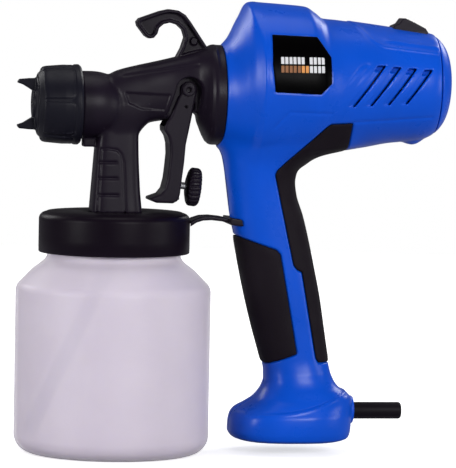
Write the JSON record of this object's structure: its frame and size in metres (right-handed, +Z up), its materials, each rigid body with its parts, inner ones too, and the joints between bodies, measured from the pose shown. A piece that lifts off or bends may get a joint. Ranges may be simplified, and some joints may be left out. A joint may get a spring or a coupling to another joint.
{
  "type": "hvlp spray gun",
  "caption": "Corded HVLP paint sprayer: turbine housing on a pistol handle with a foot, spray head with trigger, hook and horned air cap, and a milky screw-on cup.",
  "frame": {"origin": "centre of the cup's flat bottom, which the gun stands on", "axes": "+Z up, the nozzle points along -X and the motor lies towards +X, and the gun is symmetric about the XZ plane apart from its label plate and screw heads"},
  "size_m": [0.246, 0.11, 0.2553],
  "materials": {
    "blue_plastic": "satin",
    "black_plastic": "satin",
    "grip_rubber": "matte",
    "black_rubber": "matte",
    "label_black": "gloss",
    "label_print": "matte",
    "milky_plastic": "satin",
    "tube_blue": "satin",
    "steel": "satin",
    "brass": "satin",
    "aluminium": "satin",
    "filter_foam": "matte"
  },
  "bodies": {
    "gun": {"left_housing": "blue_plastic", "right_housing": "blue_plastic", "rear_grip": "grip_rubber", "front_grip": "grip_rubber", "label_plate": "label_black", "label_mark": "label_print", "housing_screw_1": "steel", "housing_screw_2": "steel", "housing_screw_3": "steel", "housing_screw_4": "steel", "housing_screw_5": "steel", "housing_screw_6": "steel", "switch_body": "black_plastic", "stator": "steel", "fan_back_plate": "aluminium", "front_bearing": "steel", "rear_bearing": "steel", "front_motor_bracket": "black_plastic", "rear_motor_bracket": "black_plastic", "brush_holder_left": "brass", "brush_holder_right": "brass", "capacitor": "black_plastic", "cable_sleeve": "black_rubber", "cord_clamp": "black_plastic", "spray_head": "black_plastic", "collar_seal": "black_rubber", "hanging_hook": "black_plastic", "fluid_nozzle": "brass", "needle_packing": "black_rubber", "needle_spring": "steel", "spring_plug": "brass", "pivot_pin": "black_plastic", "cup_lid": "black_plastic", "lid_gasket": "black_rubber", "suction_fitting": "black_plastic", "lid_brace": "black_plastic"},
    "filter_cover": {"rear_cap": "blue_plastic", "air_filter": "filter_foam"},
    "rocker": {"power_rocker": "black_plastic"},
    "motor_rotor": {"rotor": "steel", "impeller": "aluminium"},
    "cap": {"air_cap": "black_plastic"},
    "ring": {"air_cap_ring": "black_plastic"},
    "needle_set": {"needle": "steel", "drive_pin": "steel"},
    "trigger_lever": {"trigger": "black_plastic"},
    "screw": {"flow_screw": "steel"},
    "knob": {"flow_knob": "black_plastic"},
    "paint_cup": {"cup": "milky_plastic"},
    "pickup_tube": {"suction_tube": "tube_blue"}
  },
  "joints": [
    {"name": "trigger_pull", "type": "hinge", "parent": "gun", "child": "trigger_lever", "pos_m": [0.0394, 0, 0.2053], "axis": [0, -1, 0], "range_deg": [0, 12], "stiffness_Nm_per_rad": 0.6, "springref_deg": -11.46},
    {"name": "needle_slide", "type": "slide", "parent": "gun", "child": "needle_set", "axis": [1, 0, 0], "range_m": [0, 0.0021], "deforming": ["needle_spring"]},
    {"name": "flow_screw_slide", "type": "slide", "parent": "trigger_lever", "child": "screw", "axis": [0.9945, 0, -0.1045], "range_m": [0, 0.0026]},
    {"name": "flow_knob_turn", "type": "hinge", "parent": "screw", "child": "knob", "pos_m": [0.036, 0, 0.1512], "axis": [0.9945, 0, -0.1045], "range_deg": [0, 720]},
    {"name": "power_rocker_tilt", "type": "hinge", "parent": "gun", "child": "rocker", "pos_m": [0.1662, 0, 0.2406], "axis": [0, -1, 0], "range_deg": [0, 14]},
    {"name": "air_cap_turn", "type": "hinge", "parent": "gun", "child": "cap", "pos_m": [-0.045, 0, 0.196], "axis": [1, 0, 0], "range_deg": [0, 90]},
    {"name": "air_cap_ring_turn", "type": "hinge", "parent": "gun", "child": "ring", "pos_m": [-0.033, 0, 0.196], "axis": [1, 0, 0], "range_deg": [0, 30]},
    {"name": "rotor_spin", "type": "hinge", "parent": "gun", "child": "motor_rotor", "pos_m": [0.132, 0, 0.2095], "axis": [1, 0, 0], "continuous": true},
    {"name": "cup_lift_off", "type": "slide", "parent": "gun", "child": "paint_cup", "axis": [0, 0, -1], "range_m": [0, 0.06]},
    {"name": "rear_cap_off", "type": "slide", "parent": "gun", "child": "filter_cover", "axis": [1, 0, 0], "range_m": [0, 0.03]},
    {"name": "suction_tube_turn", "type": "hinge", "parent": "gun", "child": "pickup_tube", "pos_m": [0, 0, 0.115], "axis": [0, 0, 1], "range_deg": [-180, 180]}
  ],
  "couplings": [
    {"joint": "needle_slide", "follows": "trigger_pull", "m_per_rad": 0.0094},
    {"joint": "flow_screw_slide", "follows": "flow_knob_turn", "m_per_rad": 0.00019894}
  ]
}
